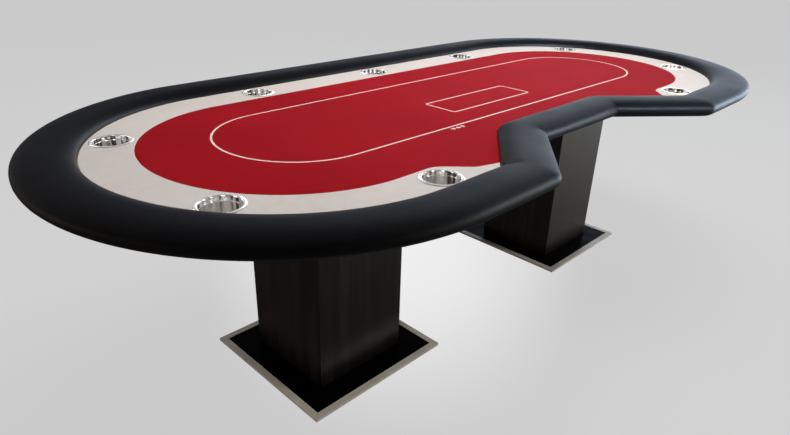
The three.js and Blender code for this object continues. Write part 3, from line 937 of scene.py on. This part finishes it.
def only(name, pieces):
    """A collection of the pieces that a lamp is kept for."""
    collection = bpy.data.collections.new(name)
    for piece in pieces:
        collection.objects.link(piece)
    return collection


def hung(light, place, target, receivers=None):
    """A lamp in its place, turned to its target, that lights only its receivers if it has any."""
    lamp = bpy.data.objects.new(light.name, light)
    scene.collection.objects.link(lamp)
    if receivers is not None:
        lamp.light_linking.receiver_collection = receivers
    aim = Vector(target) - Vector(place)
    lamp.matrix_world = Matrix.Translation(place) @ aim.to_track_quat("-Z", "Y").to_matrix().to_4x4()
    return lamp


def softbox(name, place, target, size, power, color, receivers=None, spread=math.pi):
    """A soft lamp that shiny parts don't mirror. With receivers, it lights only those and shows in them."""
    light = bpy.data.lights.new(name, "AREA")
    light.shape = "RECTANGLE"
    light.size, light.size_y = size
    light.energy = power
    light.spread = spread
    light.color = color
    lamp = hung(light, place, target, receivers)
    lamp.visible_camera = False
    if receivers is None:
        lamp.visible_glossy = False


softbox("overhead", (0.9, 0.3, 4.1), (0.1, 0.0, 0.7), (3.2, 1.8), 158.0, (1.0, 0.975, 0.95))
softbox("window", (4.2, 1.6, 2.6), (1.0, 0.0, 0.7), (2.0, 1.4), 47.0, (0.70, 0.84, 1.0))
softbox("side", (3.4, -3.2, 1.1), (0.6, 0.0, 0.5), (1.8, 1.0), 40.0, (0.92, 0.94, 1.0))
softbox("left", (-4.2, -0.6, 0.8), (-0.9, 0.0, 0.1), (1.2, 0.8), 14.0, (1.0, 0.95, 0.86))

spot = bpy.data.lights.new("floor_spot", "SPOT")
spot.energy = 44000.0
spot.spot_size = math.radians(9.0)
spot.spot_blend = 1.0
spot.use_shadow = False
hung(spot, (-7.5, -7.0, 5.1), (0.6, 0.9, 0.0), only("only_floor", [floor]))

steel = only("steel_cups", [piece for piece in scene.objects if piece.name.startswith("spun_cup")])
softbox("rim_panel", (1.0, 2.7, 2.1), (-0.7, -0.3, 0.73), (4.4, 1.2), 9.0, (0.96, 0.98, 1.0), steel)
for k, bearing in enumerate((8, 62, 118, 165, 214, 262, 318)):
    aside = Matrix.Rotation(math.radians(bearing), 2) @ Vector((3.1, 0.0))
    softbox(f"streak_{k}", (*aside, 2.2), (0.0, 0.0, 0.7), (0.5, 1.7), 19.0, (1.0, 0.97, 0.94), steel)

leather = only("rail_leather", [upholstery])
softbox("rail_panel", (2.7, -1.5, 0.85), (0.9, -0.1, 0.74), (1.5, 1.1), 30.0, (0.60, 0.78, 1.0), leather)
softbox("rail_spot", (-0.4, -2.6, 2.2), (1.1, -0.15, 0.74), (1.4, 1.0), 14.0, (0.62, 0.80, 1.0), leather,
        math.radians(44))

edging = only("base_edging", [piece for node, piece in frame["nodes"].items() if "_base_trim_" in node])
softbox("edging_left", (-2.6, -1.2, 1.7), (-0.6, 0.0, 0.0), (1.2, 0.8), 30.0, (1.0, 0.94, 0.84), edging)
softbox("edging_right", (2.2, -3.2, 1.9), (0.2, 0.0, 0.0), (1.6, 0.8), 72.0, (1.0, 0.98, 0.95), edging)


class Sky(Shader):
    """The studio that the shiny parts mirror: dim, and lighter low down, most of all on the right."""

    def __init__(self):
        self.world = bpy.data.worlds.new("studio")
        self.world.use_nodes = True
        self.tree = self.world.node_tree
        self.place = self.add("TexCoord").outputs["Generated"]
        parts = self.add("SeparateXYZ", Vector=self.place).outputs
        self.height = parts["Z"]
        self.bearing = self.math("ARCTAN2", parts["Y"], parts["X"])

    def window(self, value, low, high, soft):
        """One between low and high, falling to nothing over a soft edge."""
        rise = self.add("MapRange", Value=value, From_Min=low - soft, From_Max=low).outputs["Result"]
        fall = self.add("MapRange", Value=value, From_Min=high + soft, From_Max=high).outputs["Result"]
        return self.math("MULTIPLY", rise, fall)

    def patch(self, bearings, heights, soft, radiance):
        """A soft-edged patch of light between two bearings and two heights (sines of elevation)."""
        across = self.window(self.bearing, math.radians(bearings[0]), math.radians(bearings[1]), soft * 2)
        up = self.window(self.height, *heights, soft)
        return self.math("MULTIPLY", self.math("MULTIPLY", across, up), radiance)


ROOM_GLOW = 0.035
sky = Sky()
patches = [
    sky.patch((-14, 28), (-0.02, 0.22), 0.12, 2.4),
    sky.patch((34, 56), (-0.02, 0.26), 0.10, 0.50),
    sky.patch((60, 100), (-0.02, 0.20), 0.12, 0.14),
    sky.patch((-46, -8), (-0.20, 0.06), 0.20, 1.3),
    sky.patch((112, 160), (-0.22, 0.05), 0.16, 0.22),
]
total = ROOM_GLOW
for patch in patches:
    total = sky.math("ADD", total, patch)
round_the_room = sky.add("MapRange", Value=sky.bearing, From_Min=-math.pi, From_Max=math.pi)
tint = sky.ramp(round_the_room.outputs["Result"], (0.43, (1.0, 0.95, 0.88)), (0.47, (0.74, 0.86, 1.0)),
                (0.77, (0.84, 0.87, 1.0)), (0.81, (1.0, 0.84, 0.70)))
glow = sky.add("VectorMath", {"operation": "SCALE"})
sky.put(glow, 0, tint)
sky.put(glow, "Scale", total)
sky.put(sky.tree.nodes["Background"], "Color", glow.outputs["Vector"])
scene.world = sky.world

# ------------------------------------------------------------------ the end

bpy.context.view_layer.update()
